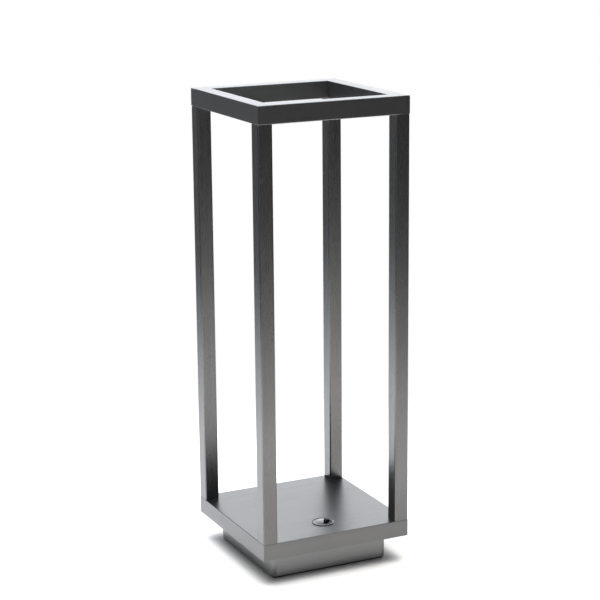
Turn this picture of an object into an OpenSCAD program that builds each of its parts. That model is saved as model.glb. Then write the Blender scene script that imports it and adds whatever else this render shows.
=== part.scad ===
// Open-frame lantern: mitred top ring, four square-tube legs, folded base tray on a stepped plinth,
// light bars under the ring and a sprung push button in the base. Millimetres, +Z up,
// origin at the centre of the footprint, on the surface that the lantern stands on.

/* [Overall] */
// Width and depth of the top ring and the base tray
frame_w = 160; // [140:1:260]
// Length of the legs between tray and ring
leg_len = 411; // [200:1:700]

/* [Legs] */
// Outside width of the square leg tube
tube_w = 15; // [12:0.5:20]
// Wall of the leg tube
tube_wall = 1.5; // [1:0.1:2]
// Outside corner radius of the leg tube
tube_r = 1.3; // [0.5:0.1:2]

/* [Top ring] */
// Height of the ring's rails
ring_h = 18; // [15:0.5:30]
// How far the rails stand in past the legs
ring_lip = 1; // [0:0.5:6]
// Wall of the rails
ring_wall = 1.5; // [1:0.1:2]
// Radius of the rails' outside edges
ring_r = 0.8; // [0.3:0.1:1.4]

/* [Base tray] */
// Height of the folded tray
tray_h = 17; // [15:0.5:30]
// Thickness of the tray's top sheet
tray_top = 2; // [1.5:0.1:3]
// Thickness of the tray's folded skirt
skirt_t = 1.5; // [1:0.1:2.5]
// Thickness of the sheet that closes the tray from below
under_t = 1.5; // [1:0.1:2.5]
// Chamfer along the tray's top edges
tray_chamfer = 0.5; // [0.2:0.1:1]

/* [Plinth] */
// How far the plinth stands in from the tray on each side
plinth_inset = 16.5; // [14:0.5:21.5]
// Height of the plinth's folded shell
plinth_h = 25; // [22:0.5:40]
// Wall of the plinth's shell
plinth_wall = 1.5; // [1:0.1:2.5]
// Outside radius of the plinth's upright corners
plinth_r = 4.5; // [2.5:0.1:7]
// Thickness of the plinth's floor sheet
floor_t = 1.5; // [1.5:0.1:2.5]
// Thickness of the foot pad
pad_t = 2; // [1:0.1:4]
// How far the foot pad stands in from the plinth's walls
pad_inset = 1.5; // [1:0.1:4]

/* [Push button] */
// Distance from the tray's front edge to the middle of the button
button_edge = 32; // [32:0.5:50]
// Diameter of the barrel that goes through the tray
barrel_d = 19; // [16:0.5:23]
// How far the bezel's flange reaches past the barrel
flange_lip = 1.5; // [1:0.1:2.5]
// Height of the bezel above the tray
bezel_h = 0.8; // [0.6:0.1:3]
// Width of the bezel's ring around the cap
bezel_rim = 3.3; // [3:0.1:4]
// Travel of the cap
travel = 1.5; // [1:0.1:2]

/* [Light bars] */
// Width of each rail's underside left on both sides of the slot
slot_side = 3.5; // [3:0.1:4]
// How much narrower the light strips are than the slot
strip_less = 1; // [0.5:0.1:3]
// Lamps on each strip
strip_lamps = 6; // [3:1:12]

/* [Battery] */
// Diameter of a cell
cell_d = 14.2; // [10:0.1:15]
// Length of a cell without its button end
cell_len = 49.5; // [40:0.5:50]
// Number of cells
cells = 4; // [2:1:4]

/* [Fasteners] */
// Diameter of the tie rods and the plinth's studs
rod_d = 4; // [3:0.5:5]
// Diameter of the posts and spacers
post_d = 8; // [7:0.5:10]
// Shank diameter of the floor screws
screw_d = 3; // [2.5:0.5:4]
// Shank length of the floor screws
screw_len = 8; // [6:0.5:12]

/* [Clearances] */
// Gap between pieces that slide into each other by hand
fit_gap = 0.1; // [0.05:0.05:0.3]
// Gap around a rod or screw in its threaded hole, on the radius
thread_gap = 0.05; // [0.02:0.01:0.1]
// Gap around a rod or screw in a plain hole, on the radius
hole_gap = 0.2; // [0.1:0.05:0.5]
// Running gap around the button's cap, on the radius
run_gap = 0.05; // [0.02:0.01:0.1]
// Gap around a lead
lead_gap = 0.4; // [0.2:0.1:0.8]

/* [Hidden] */
$fn = 48;
eps = 0.01;

// heights
plinth_z = pad_t;
floor_z = pad_t + floor_t;
tray_z = plinth_z + plinth_h;
under_z = tray_z + under_t;
plate_z = tray_z + tray_h;
sheet_z = plate_z - tray_top;
ring_z = plate_z + leg_len;
top_z = ring_z + ring_h;

// plan sizes
half = frame_w/2;
ring_w = tube_w + ring_lip;
leg_at = half - tube_w/2;
plinth_w = frame_w - 2*plinth_inset;
plinth_in = plinth_w - 2*plinth_wall;
post_at = plinth_in/2 - post_d/2 - 7;
tab_w = 15;
corners = [[-1, -1], [1, -1], [1, 1], [-1, 1]];

// corner keys and locators: the spigots fit the bore of the leg tubes
spigot_w = tube_w - 2*tube_wall - 2*fit_gap;
spigot_len = 9;
key_w = ring_w - 2*ring_wall - 2*fit_gap;
key_at = half - ring_w/2;
key_arm = 14;
key_arm_h = 7;
key_top = top_z - ring_wall - fit_gap;
key_thread = 9;

// the lead that runs up a leg and round the ring, at the inner corner of the tubes
lead_d = 2.4;
lead_bend = 6;
lead_at = leg_at - spigot_w/2 + 1.4;
notch_at = lead_at + lead_d/2 + lead_gap;
ring_lead_z = ring_z + ring_wall + 1.6 + lead_d/2;

// light bars
slot_w = ring_w - 2*slot_side;
strip_w = slot_w - strip_less;
bar_gap = 2;
bar_len = frame_w - 2*tube_w - 2*bar_gap;
strip_t = 1;
strip_len = frame_w - 2*ring_w - 2*key_arm - 2*bar_gap;
lamp_w = 3;
lamp_h = 0.8;
diffuser_lip = 1;
diffuser_gap = 0.2;

// tie rods with their nuts and washers
nut_af = 1.75*rod_d;
nut_h = 0.8*rod_d;
washer_d = 2.25*rod_d;
washer_t = 0.8;
rod_low = sheet_z - washer_t - nut_h - 2;
rod_top = ring_z + key_thread;

// push button
button_y = half - button_edge;
bezel_d = barrel_d + 2*flange_lip;
bezel_bore = bezel_d - 2*bezel_rim;
cap_d = bezel_bore - 2*run_gap;
barrel_wall = 1;
lip_h = 3;
cap_top = plate_z + bezel_h;
lip_z = cap_top - lip_h;
barrel_len = 14;
barrel_z = plate_z - barrel_len;
chamber_d = barrel_d - 2*barrel_wall;
skirt_d = chamber_d - 0.6;
skirt_h = 1.2;
stem_d = 5;
switch_top = barrel_z + 4;
switch_len = 16;
stem_z = switch_top - 3;
seal_t = 0.3;
nut_ring_d = barrel_d + 5;
nut_ring_h = 3;
spring_d = 0.65*chamber_d;
spring_wire = 0.8;
spring_turns = 4;
pin_at = 3.5;
pin_len = 3;
pin_z = switch_top - switch_len - pin_len;

// battery holder
holder_wall = 1.5;
holder_floor = 1.5;
cell_pitch = cell_d + 0.6;
holder_w = cells*cell_pitch + 2*holder_wall;
contact_t = 0.5;
contact_room = 1.6;
nub_d = 5;
nub_h = 1;
holder_l = cell_len + nub_h + 2*contact_room + 2*holder_wall;
holder_h = 14;
holder_y = 22;
ear_d = 8;
ear_h = 9;

// floor screws
head_d = 2*screw_d;
head_h = screw_d/2;
pad_hole = head_d + 2;

steel = [0.52, 0.53, 0.54];
dark_steel = [0.36, 0.37, 0.38];
polished = [0.80, 0.81, 0.82];
zinc = [0.66, 0.67, 0.68];
black = [0.09, 0.09, 0.10];
opal = [0.93, 0.93, 0.90];
copper = [0.75, 0.45, 0.22];

// ---- shared shapes ----

// A square of the given width with rounded corners
module rounded_square(w, r) {
    square([w - 2*r, w], center = true);
    square([w, w - 2*r], center = true);
    for (c = corners) translate((w/2 - r)*c) circle(r);
}

// A rectangle with rounded corners, centred
module rounded_rect(size, r) {
    square([size[0] - 2*r, size[1]], center = true);
    square([size[0], size[1] - 2*r], center = true);
    for (c = corners) translate([(size[0]/2 - r)*c[0], (size[1]/2 - r)*c[1]]) circle(r);
}

// Puts a copy of its children in each of the four corners, at the given distance from the centre
module at_corners(d) {
    for (c = corners) translate([d*c[0], d*c[1], 0]) children();
}

// A round rod between two heights
module upright(d, z0, z1) {
    translate([0, 0, z0]) cylinder(d = d, h = z1 - z0);
}

// The unit vector from p to q
function heading(p, q) = (q - p)/norm(q - p);

// The route with each inner corner turned into a bend that starts this far from it
function rounded_route(points, bend, steps = 4) = let (last = len(points) - 1) concat(
    [points[0]],
    [for (i = [1 : last - 1], k = [0 : steps])
        let (before = min(bend, 0.45*norm(points[i] - points[i - 1])),
             after = min(bend, 0.45*norm(points[i + 1] - points[i])),
             t = k/steps,
             start = points[i] - before*heading(points[i - 1], points[i]),
             end = points[i] + after*heading(points[i], points[i + 1]))
        (1 - t)*(1 - t)*start + 2*t*(1 - t)*points[i] + t*t*end],
    [points[last]]
);

// A round lead along a route; its headings never run along the given side vector
module lead_run(route, d, side) {
    sides = 8;
    last = len(route) - 1;
    points = [for (i = [0 : last])
        let (ahead = heading(route[max(i - 1, 0)], route[min(i + 1, last)]),
             u = cross(ahead, side)/norm(cross(ahead, side)), v = cross(ahead, u))
        for (j = [0 : sides - 1]) route[i] + d/2*(cos(360*j/sides)*u + sin(360*j/sides)*v)];
    faces = concat(
        [[for (j = [0 : sides - 1]) j]],
        [for (i = [0 : last - 1], j = [0 : sides - 1])
            let (k = (j + 1)%sides) [i*sides + j, (i + 1)*sides + j, (i + 1)*sides + k, i*sides + k]],
        [[for (j = [sides - 1 : -1 : 0]) last*sides + j]]
    );
    polyhedron(points, faces);
}

// A helical wire standing on z = 0
module coil(mean_d, wire, height, turns) {
    steps = 20*turns;
    sides = 8;
    rise = height - wire;
    points = [for (i = [0 : steps], j = [0 : sides - 1])
        let (a = 360*turns*i/steps, b = 360*j/sides, r = mean_d/2 + wire/2*cos(b))
            [r*cos(a), r*sin(a), wire/2 + rise*i/steps + wire/2*sin(b)]];
    faces = concat(
        [[for (j = [0 : sides - 1]) j]],
        [for (i = [0 : steps - 1], j = [0 : sides - 1])
            let (k = (j + 1)%sides) [i*sides + j, (i + 1)*sides + j, (i + 1)*sides + k, i*sides + k]],
        [[for (j = [sides - 1 : -1 : 0]) steps*sides + j]]
    );
    polyhedron(points, faces);
}

// ---- top ring ----

// The front rail; the other three are this one turned. Square tube, mitred at both ends,
// with a slot for the light bar and a share of each spigot hole in its underside.
module ring_rail() {
    color(dark_steel) difference() {
        intersection() {
            translate([-half, -half + ring_w/2, ring_z + ring_h/2]) rotate([90, 0, 90])
                linear_extrude(frame_w) difference() {
                    rounded_rect([ring_w, ring_h], ring_r);
                    square([ring_w - 2*ring_wall, ring_h - 2*ring_wall], center = true);
                }
            translate([0, 0, ring_z - 1]) linear_extrude(ring_h + 2)
                polygon([[-half, -half], [half, -half], [half - ring_w, -half + ring_w],
                         [-half + ring_w, -half + ring_w]]);
            translate([0, 0, ring_z - 1]) linear_extrude(ring_h + 2) rounded_square(frame_w, ring_r);
        }
        translate([0, -half + ring_w/2, ring_z + ring_wall/2])
            cube([bar_len + 2*diffuser_gap, slot_w, ring_wall + 1], center = true);
        for (side = [-1, 1]) translate([side*leg_at, -leg_at, ring_z])
            cube([spigot_w + 2*fit_gap, spigot_w + 2*fit_gap, 2*ring_wall + 1], center = true);
    }
}

// The front left key: a block in the mitred corner, two arms in the rails and a spigot in the leg
module corner_key() {
    block_low = ring_z + ring_wall + fit_gap;
    arm_low = key_top - key_arm_h;
    reach = key_w/2 + key_arm;
    color(zinc) difference() {
        union() {
            translate([-key_at - key_w/2, -key_at - key_w/2, block_low])
                cube([key_w, key_w, key_top - block_low]);
            translate([-key_at - key_w/2, -key_at - key_w/2, arm_low])
                cube([key_w/2 + reach, key_w, key_arm_h]);
            translate([-key_at - key_w/2, -key_at - key_w/2, arm_low])
                cube([key_w, key_w/2 + reach, key_arm_h]);
            translate([-leg_at - spigot_w/2, -leg_at - spigot_w/2, ring_z - spigot_len])
                cube([spigot_w, spigot_w, spigot_len + ring_wall + 2*fit_gap]);
        }
        translate([-leg_at, -leg_at, 0])
            upright(rod_d + 2*thread_gap, ring_z - spigot_len - 1, rod_top + 1);
        // groove for the lead along the inner corner
        translate([-notch_at, -notch_at, ring_z - spigot_len - 1])
            cube([key_w, key_w, arm_low - ring_z + spigot_len + 1]);
    }
}

// ---- light bars, the front one of each; the others are turned copies ----

// The board, stuck to the roof of the rail, with its lamps facing down
module light_strip() {
    color(opal) translate([0, -half + ring_w/2, top_z - ring_wall - strip_t]) {
        translate([-strip_len/2, -strip_w/2, 0]) cube([strip_len, strip_w, strip_t]);
        for (i = [0 : strip_lamps - 1])
            translate([(i + 0.5)*strip_len/strip_lamps - strip_len/2 - lamp_w/2, -lamp_w/2, -lamp_h])
                cube([lamp_w, lamp_w, lamp_h + eps]);
    }
}

// The opal bar that closes the slot, with a lip that rests inside the rail
module diffuser() {
    lip_w = slot_w + 2*diffuser_lip;
    bar_w = slot_w - 2*diffuser_gap;
    color(opal) translate([0, -half + ring_w/2, ring_z]) {
        translate([-bar_len/2, -bar_w/2, 0]) cube([bar_len, bar_w, ring_wall + diffuser_lip]);
        translate([-bar_len/2, -lip_w/2, ring_wall]) cube([bar_len, lip_w, diffuser_lip]);
    }
}

// ---- legs and what holds them ----

// The front left leg
module leg() {
    color(steel) translate([-leg_at, -leg_at, plate_z]) linear_extrude(leg_len) difference() {
        rounded_square(tube_w, tube_r);
        square(tube_w - 2*tube_wall, center = true);
    }
}

// Square blocks welded on the tray; each leg stands over one
module leg_locators() {
    color(zinc) for (c = corners) difference() {
        translate([leg_at*c[0] - spigot_w/2, leg_at*c[1] - spigot_w/2, plate_z])
            cube([spigot_w, spigot_w, spigot_len]);
        translate([leg_at*c[0], leg_at*c[1], 0])
            upright(rod_d + 2*hole_gap, plate_z - 1, plate_z + spigot_len + 1);
        translate([c[0]*(notch_at - spigot_w/2), c[1]*(notch_at - spigot_w/2), plate_z + spigot_len/2])
            cube([spigot_w, spigot_w, spigot_len + 2], center = true);
    }
}

module tie_rods() {
    color(zinc) at_corners(leg_at) upright(rod_d, rod_low, rod_top);
}

module tie_washers() {
    color(zinc) at_corners(leg_at) difference() {
        upright(washer_d, sheet_z - washer_t, sheet_z);
        upright(rod_d + 2*hole_gap, sheet_z - washer_t - 1, sheet_z + 1);
    }
}

module tie_nuts() {
    nut_top = sheet_z - washer_t;
    color(zinc) at_corners(leg_at) difference() {
        translate([0, 0, nut_top - nut_h]) cylinder(d = nut_af/cos(30), h = nut_h, $fn = 6);
        upright(rod_d + 2*thread_gap, nut_top - nut_h - 1, nut_top + 1);
    }
}

// ---- base ----

// Top sheet with its skirt folded down on all four sides
module base_tray() {
    color(steel) difference() {
        translate([0, 0, tray_z]) linear_extrude(tray_h) rounded_square(frame_w, tray_chamfer);
        translate([-half + skirt_t, -half + skirt_t, tray_z - 1])
            cube([frame_w - 2*skirt_t, frame_w - 2*skirt_t, tray_h - tray_top + 1]);
        // chamfer along the four top edges
        for (a = [0 : 90 : 270]) rotate(a) translate([0, -half, plate_z]) rotate([45, 0, 0])
            cube([frame_w + 2, tray_chamfer*sqrt(2), tray_chamfer*sqrt(2)], center = true);
        at_corners(leg_at) upright(rod_d + 2*hole_gap, sheet_z - 1, plate_z + 1);
        translate([-lead_at, lead_at, 0]) upright(lead_d + 2*lead_gap, sheet_z - 1, plate_z + 1);
        translate([0, -button_y, 0]) upright(barrel_d + 2*fit_gap, sheet_z - 1, plate_z + 1);
    }
}

// Threaded spacers welded under the top sheet
module tray_spacers() {
    color(zinc) at_corners(post_at) difference() {
        upright(post_d, under_z, sheet_z);
        upright(rod_d + 2*thread_gap, under_z - 1, sheet_z - 3);
    }
}

// Closes the tray from below and leaves the middle open to the plinth, with room for the button
module base_underplate() {
    wide = plinth_in - 6;
    narrow = 2*(post_at - post_d/2 - 3);
    color(dark_steel) difference() {
        translate([0, 0, tray_z + under_t/2])
            cube([frame_w - 2*skirt_t - 2*fit_gap, frame_w - 2*skirt_t - 2*fit_gap, under_t], center = true);
        translate([0, 0, tray_z + under_t/2]) {
            cube([wide, narrow, under_t + 2], center = true);
            cube([narrow, wide, under_t + 2], center = true);
        }
        at_corners(post_at) upright(rod_d + 2*hole_gap, tray_z - 1, under_z + 1);
        translate([0, -button_y, 0]) upright(barrel_d, tray_z - 1, under_z + 1);
    }
}

// Four folded walls with a fixing tab in each top corner
module plinth_shell() {
    color(steel) difference() {
        translate([0, 0, plinth_z]) linear_extrude(plinth_h) rounded_square(plinth_w, plinth_r);
        translate([0, 0, plinth_z - 1]) linear_extrude(plinth_h - plinth_wall + 1)
            rounded_square(plinth_in, plinth_r - plinth_wall);
        translate([0, 0, tray_z - plinth_wall/2]) {
            cube([plinth_in, plinth_in - 2*tab_w, plinth_wall + 2], center = true);
            cube([plinth_in - 2*tab_w, plinth_in, plinth_wall + 2], center = true);
        }
        at_corners(post_at) upright(rod_d + 2*hole_gap, tray_z - plinth_wall - 1, tray_z + 1);
    }
}

// Posts between floor and tabs; a stud on top goes up into the tray's spacer
module plinth_posts() {
    color(zinc) at_corners(post_at) difference() {
        union() {
            upright(post_d, floor_z, tray_z - plinth_wall);
            upright(rod_d, tray_z - plinth_wall - eps, under_z + 8);
        }
        upright(screw_d + 2*thread_gap, floor_z - 1, floor_z + screw_len + 1);
    }
}

// Where the floor screws go: four into the posts and two into the battery holder's ears
screw_points = concat(post_at*corners, [for (side = [-1, 1]) [side*(holder_w + ear_d)/2, holder_y]]);

module plinth_floor() {
    color(dark_steel) difference() {
        translate([0, 0, plinth_z]) linear_extrude(floor_t)
            rounded_square(plinth_in - 2*fit_gap, plinth_r - plinth_wall);
        for (p = screw_points) translate(p) {
            upright(screw_d + 2*hole_gap, plinth_z - 1, floor_z + 1);
            translate([0, 0, plinth_z - eps])
                cylinder(d1 = head_d + 2*hole_gap, d2 = screw_d + 2*hole_gap, h = head_h);
        }
    }
}

module floor_screws() {
    color(zinc) for (p = screw_points) translate([p[0], p[1], plinth_z]) difference() {
        union() {
            cylinder(d1 = head_d, d2 = screw_d, h = head_h);
            cylinder(d = screw_d, h = floor_t + screw_len);
        }
        // hexagon socket
        translate([0, 0, -1]) cylinder(d = 0.65*screw_d, h = 2, $fn = 6);
    }
}

// Soft pad with a hole under each screw
module foot_pad() {
    color(black) difference() {
        linear_extrude(pad_t) rounded_square(plinth_w - 2*pad_inset, plinth_r - pad_inset);
        for (p = screw_points) translate(p) upright(pad_hole, -1, pad_t + 1);
    }
}

// ---- push button ----

// Flange with a chamfered rim over a barrel; the cap runs in the bore under its lip
module button_bezel() {
    rim = 0.45*bezel_h;
    flange_z = plate_z + seal_t;
    color(polished) translate([0, -button_y, 0]) rotate_extrude($fn = 96) polygon([
        [bezel_bore/2, cap_top], [bezel_d/2 - rim, cap_top], [bezel_d/2, cap_top - rim],
        [bezel_d/2, flange_z], [barrel_d/2, flange_z], [barrel_d/2, barrel_z],
        [chamber_d/2, barrel_z], [chamber_d/2, lip_z], [bezel_bore/2, lip_z]
    ]);
}

// Polished disc with a skirt that stops under the lip, and a stem into the switch
module button_cap() {
    color(polished) translate([0, -button_y, 0]) {
        upright(cap_d, lip_z - eps, cap_top);
        upright(skirt_d, lip_z - skirt_h, lip_z);
        upright(stem_d, stem_z, lip_z - skirt_h + eps);
    }
}

// Ring of soft sheet between flange and tray
module button_seal() {
    color(black) translate([0, -button_y, 0]) difference() {
        upright(bezel_d - 0.4, plate_z, plate_z + seal_t);
        upright(barrel_d + 2*fit_gap, plate_z - 1, plate_z + seal_t + 1);
    }
}

// Returns the cap
module button_spring() {
    color(zinc) translate([0, -button_y, switch_top])
        coil(spring_d - spring_wire, spring_wire, lip_z - skirt_h - switch_top, spring_turns);
}

// Insulating body in the bottom of the barrel
module button_switch() {
    low = switch_top - switch_len;
    color(black) translate([0, -button_y, 0]) difference() {
        upright(chamber_d - 2*fit_gap, low, switch_top);
        upright(stem_d + 0.6, stem_z - travel - 2, switch_top + 1);
    }
}

module button_terminals() {
    color(copper) for (side = [-1, 1])
        translate([side*pin_at, -button_y, pin_z + pin_len/2]) cube([0.8, 2.8, pin_len], center = true);
}

// Ring nut that clamps the tray's top sheet against the flange
module button_nut() {
    color(zinc) translate([0, -button_y, 0]) difference() {
        translate([0, 0, sheet_z - nut_ring_h]) cylinder(d = nut_ring_d, h = nut_ring_h, $fn = 6);
        upright(barrel_d + 2*thread_gap, sheet_z - nut_ring_h - 1, sheet_z + 1);
    }
}

// ---- battery ----

// Open-topped box with low ribs between the cells and an ear at each end for its screw
module battery_holder() {
    color(black) translate([0, holder_y, floor_z]) difference() {
        union() {
            difference() {
                translate([-holder_w/2, -holder_l/2, 0]) cube([holder_w, holder_l, holder_h]);
                translate([-holder_w/2 + holder_wall, -holder_l/2 + holder_wall, holder_floor])
                    cube([holder_w - 2*holder_wall, holder_l - 2*holder_wall, holder_h]);
            }
            for (i = [1 : cells - 1]) translate([(i - cells/2)*cell_pitch, 0, holder_floor + 0.75])
                cube([0.5, holder_l - 2*holder_wall - 8, 1.5 + 2*eps], center = true);
            for (side = [-1, 1]) translate([side*(holder_w + ear_d)/2, 0, 0]) {
                cylinder(d = ear_d, h = ear_h);
                translate([-side*ear_d/4, 0, ear_h/2]) cube([ear_d/2 + 2*eps, ear_d, ear_h], center = true);
            }
        }
        for (side = [-1, 1]) translate([side*(holder_w + ear_d)/2, 0, 0])
            upright(screw_d + 2*thread_gap, -1, screw_len + 0.5);
    }
}

// A plate at both ends of each cell, against the holder's end walls
module battery_contacts() {
    color(zinc) for (i = [0 : cells - 1], side = [-1, 1])
        translate([(i - (cells - 1)/2)*cell_pitch,
                   holder_y + side*(holder_l/2 - holder_wall - contact_t/2), floor_z + holder_floor + 5])
            cube([9, contact_t, 9], center = true);
}

// Cells side by side, every second one turned round
module battery_cells() {
    color("darkgreen") for (i = [0 : cells - 1])
        translate([(i - (cells - 1)/2)*cell_pitch, holder_y, floor_z + holder_floor + cell_d/2])
            rotate([i % 2 == 0 ? 90 : -90, 0, 0]) translate([0, 0, -(cell_len + nub_h)/2]) {
                cylinder(d = cell_d, h = cell_len);
                cylinder(d = nub_d, h = cell_len + nub_h);
            }
}

// ---- leads ----

// From the battery holder's front wall to one terminal
module battery_lead() {
    front = holder_y - holder_l/2;
    route = [[14, front, 10], [14, front - 8, 10], [10, -36, 8], [pin_at, -button_y, pin_z - 7],
             [pin_at, -button_y, pin_z]];
    color(black) lead_run(rounded_route(route, lead_bend), lead_d, [1, 0, 0.3]);
}

// From the other terminal through the tray and up the back left leg
module light_lead() {
    route = [[-pin_at, -button_y, pin_z], [-pin_at, -button_y, pin_z - 7], [-24, -34, pin_z - 2],
             [-36, -6, tray_z - 6], [-lead_at + 9, lead_at - 22, under_z + 6],
             [-lead_at, lead_at, under_z + 6], [-lead_at, lead_at, ring_lead_z - lead_d/2]];
    color(black) lead_run(rounded_route(route, lead_bend), lead_d, [1, 0.2, 0]);
}

// Round the ring inside the rails, crossing in the corners, with a short tail up to each light strip
module ring_lead() {
    run = 2*lead_at + lead_d;
    color(black) for (a = [0 : 90 : 270]) rotate(a) translate([0, -lead_at, 0]) {
        translate([-run/2, 0, ring_lead_z]) rotate([0, 90, 0]) cylinder(d = lead_d, h = run);
        translate([strip_len/2 - 4, 0, 0]) upright(lead_d, ring_lead_z, top_z - ring_wall - strip_t);
    }
}

ring_rail();  // ring_rail_front
rotate(90) ring_rail();  // ring_rail_right
rotate(180) ring_rail();  // ring_rail_back
rotate(270) ring_rail();  // ring_rail_left
corner_key();  // corner_key_front_left
rotate(90) corner_key();  // corner_key_front_right
rotate(180) corner_key();  // corner_key_back_right
rotate(270) corner_key();  // corner_key_back_left
leg();  // leg_front_left
rotate(90) leg();  // leg_front_right
rotate(180) leg();  // leg_back_right
rotate(270) leg();  // leg_back_left
light_strip();  // light_strip_front
rotate(90) light_strip();  // light_strip_right
rotate(180) light_strip();  // light_strip_back
rotate(270) light_strip();  // light_strip_left
diffuser();  // diffuser_front
rotate(90) diffuser();  // diffuser_right
rotate(180) diffuser();  // diffuser_back
rotate(270) diffuser();  // diffuser_left
leg_locators();
tie_rods();
tie_washers();
tie_nuts();
base_tray();
tray_spacers();
base_underplate();
plinth_shell();
plinth_posts();
plinth_floor();
floor_screws();
foot_pad();
button_bezel();
button_cap();
button_seal();
button_spring();
button_switch();
button_terminals();
button_nut();
battery_holder();
battery_contacts();
battery_cells();
battery_lead();
light_lead();
ring_lead();
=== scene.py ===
import math
import bmesh
import bpy
from mathutils import Matrix, Vector


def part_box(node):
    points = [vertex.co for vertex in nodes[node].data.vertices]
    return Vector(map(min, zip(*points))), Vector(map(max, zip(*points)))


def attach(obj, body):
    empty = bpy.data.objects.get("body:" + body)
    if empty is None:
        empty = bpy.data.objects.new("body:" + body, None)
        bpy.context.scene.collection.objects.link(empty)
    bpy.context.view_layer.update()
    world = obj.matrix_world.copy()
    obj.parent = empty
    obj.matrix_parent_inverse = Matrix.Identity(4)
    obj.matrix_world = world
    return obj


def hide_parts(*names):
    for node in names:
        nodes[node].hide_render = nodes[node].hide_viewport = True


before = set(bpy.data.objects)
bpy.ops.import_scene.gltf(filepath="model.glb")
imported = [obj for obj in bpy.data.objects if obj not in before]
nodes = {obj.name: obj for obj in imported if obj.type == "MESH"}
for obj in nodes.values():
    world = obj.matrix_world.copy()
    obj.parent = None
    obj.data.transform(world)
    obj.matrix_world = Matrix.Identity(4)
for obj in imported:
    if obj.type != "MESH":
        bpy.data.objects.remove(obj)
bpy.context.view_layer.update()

mm = 0.001
hair = 1e-6  # points closer than this are the same point
nearlyOne = 0.99  # a direction's share of an axis, past which it counts as lying along it
scene = bpy.context.scene
scene.view_settings.view_transform = "Standard"

cameraSetup = {
    "turn": -25.62,  # degrees round the lantern, 0 looks along +Y
    "rise": 13.65,  # degrees above level
    "roll": -0.538,
    "distance": 1.8122,
    "aim": (-0.0037, -0.0074, 0.2658),
    "lens": 109.09,
    "sensor": 36,
    "sightEnd": 50,
}


def makeCamera(setup):
    turn, rise = math.radians(setup["turn"]), math.radians(setup["rise"])
    back = Vector((math.sin(turn) * math.cos(rise), -math.cos(turn) * math.cos(rise), math.sin(rise)))
    cameraData = bpy.data.cameras.new("camera")
    cameraData.lens = setup["lens"]
    cameraData.sensor_width = setup["sensor"]
    cameraData.clip_end = setup["sightEnd"]
    camera = bpy.data.objects.new("camera", cameraData)
    scene.collection.objects.link(camera)
    level = (-back).to_track_quat("-Z", "Y").to_matrix().to_4x4()
    place = Matrix.Translation(Vector(setup["aim"]) + back * setup["distance"])
    camera.matrix_world = place @ level @ Matrix.Rotation(math.radians(setup["roll"]), 4, "Z")
    scene.camera = camera
    print("camera made")


makeCamera(cameraSetup)


# small helpers for shader trees

def newMaterial(name):
    material = bpy.data.materials.new(name)
    material.use_nodes = True
    tree = material.node_tree
    return material, tree, tree.nodes["Principled BSDF"]


def addNode(tree, kind, values=None, **settings):
    node = tree.nodes.new(kind)
    for key, value in settings.items():
        setattr(node, key, value)
    for key, value in (values or {}).items():
        node.inputs[key].default_value = value
    return node


def addMath(tree, operation, first, second):
    # first and second are sockets or numbers
    node = tree.nodes.new("ShaderNodeMath")
    node.operation = operation
    for slot, value in enumerate((first, second)):
        if isinstance(value, bpy.types.NodeSocket):
            tree.links.new(value, node.inputs[slot])
        else:
            node.inputs[slot].default_value = value
    return node.outputs[0]


def addMix(tree, factor, low, high):
    # mixes two colours; each of the three is a socket or a value
    node = addNode(tree, "ShaderNodeMix", data_type="RGBA")
    for label, value in (("Factor", factor), ("A", low), ("B", high)):
        socket = next(s for s in node.inputs if s.enabled and s.name == label)
        if isinstance(value, bpy.types.NodeSocket):
            tree.links.new(value, socket)
        else:
            socket.default_value = value
    return next(s for s in node.outputs if s.enabled)


def addRange(tree, value, low, high, toLow, toHigh):
    node = addNode(tree, "ShaderNodeMapRange", {
        "From Min": low, "From Max": high, "To Min": toLow, "To Max": toHigh})
    tree.links.new(value, node.inputs["Value"])
    return node.outputs["Result"]


def addSpread(tree, noise, toLow, toHigh):
    # a noise keeps near its middle, so only that part of it is drawn out over the range
    return addRange(tree, noise, 0.3, 0.7, toLow, toHigh)


def newGroup(name, inputs, outputs):
    group = bpy.data.node_groups.new(name, "ShaderNodeTree")
    for label, kind, value in inputs:
        socket = group.interface.new_socket(label, in_out="INPUT", socket_type="NodeSocket" + kind)
        if value is not None:
            socket.default_value = value
    for label, kind in outputs:
        group.interface.new_socket(label, in_out="OUTPUT", socket_type="NodeSocket" + kind)
    return group, group.nodes.new("NodeGroupInput").outputs, group.nodes.new("NodeGroupOutput").inputs


def addGroup(tree, group, values, vector):
    node = addNode(tree, "ShaderNodeGroup", values, node_tree=group)
    tree.links.new(vector, node.inputs["Vector"])
    return node.outputs


# effects that several materials share

def makeBrushedGrain():
    # scratches along whichever way the material has drawn out the vector
    group, given, result = newGroup(
        "brushedGrain",
        [("Vector", "Vector", None), ("Fine Scale", "Float", 900.0), ("Band Scale", "Float", 90.0)],
        [("Grain", "Float"), ("Bands", "Float")])
    fine = addNode(group, "ShaderNodeTexNoise", {"Detail": 6.0, "Roughness": 0.65})
    bands = addNode(group, "ShaderNodeTexNoise", {"Detail": 3.0, "Roughness": 0.5})
    link = group.links.new
    link(given["Vector"], fine.inputs["Vector"])
    link(given["Vector"], bands.inputs["Vector"])
    link(given["Fine Scale"], fine.inputs["Scale"])
    link(given["Band Scale"], bands.inputs["Scale"])
    link(fine.outputs["Fac"], result["Grain"])
    link(bands.outputs["Fac"], result["Bands"])
    return group


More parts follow.
